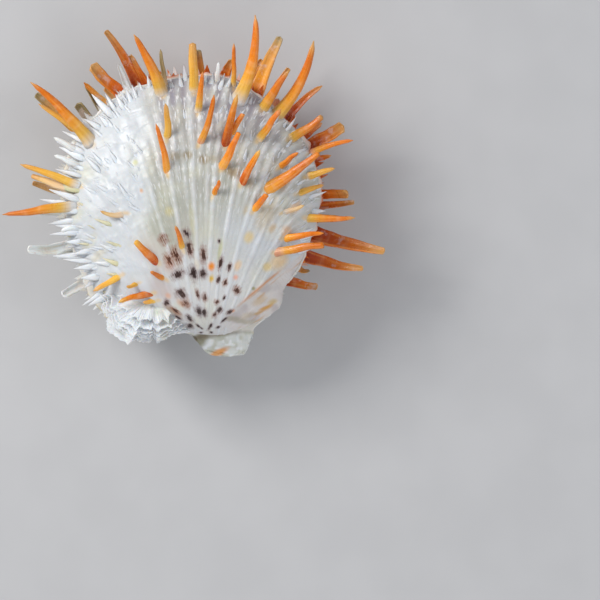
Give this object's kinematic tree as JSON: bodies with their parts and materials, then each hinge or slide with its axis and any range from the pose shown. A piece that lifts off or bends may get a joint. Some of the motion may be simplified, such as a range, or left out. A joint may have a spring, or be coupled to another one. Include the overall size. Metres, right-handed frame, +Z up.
{
  "type": "thorny oyster shell",
  "caption": "Closed thorny oyster shell lying on its lower valve, white and ribbed, with long curved orange spines round the margin",
  "frame": {"origin": "middle of the shell's box, on the surface that it lies on", "axes": "+X to the right and +Y away from the hinge, seen from above; +Z up, out of the back of the upper valve"},
  "size_m": [0.1273, 0.1128, 0.0545],
  "materials": {
    "upper_valve": "pearly white shell, satin, with orange spines and dark brown spots at the umbo",
    "lower_valve": "chalky white and orange shell, satin spines and an eroded scar"
  },
  "bodies": {
    "root": {"upper_valve": "upper_valve", "lower_valve": "lower_valve"}
  },
  "joints": []
}
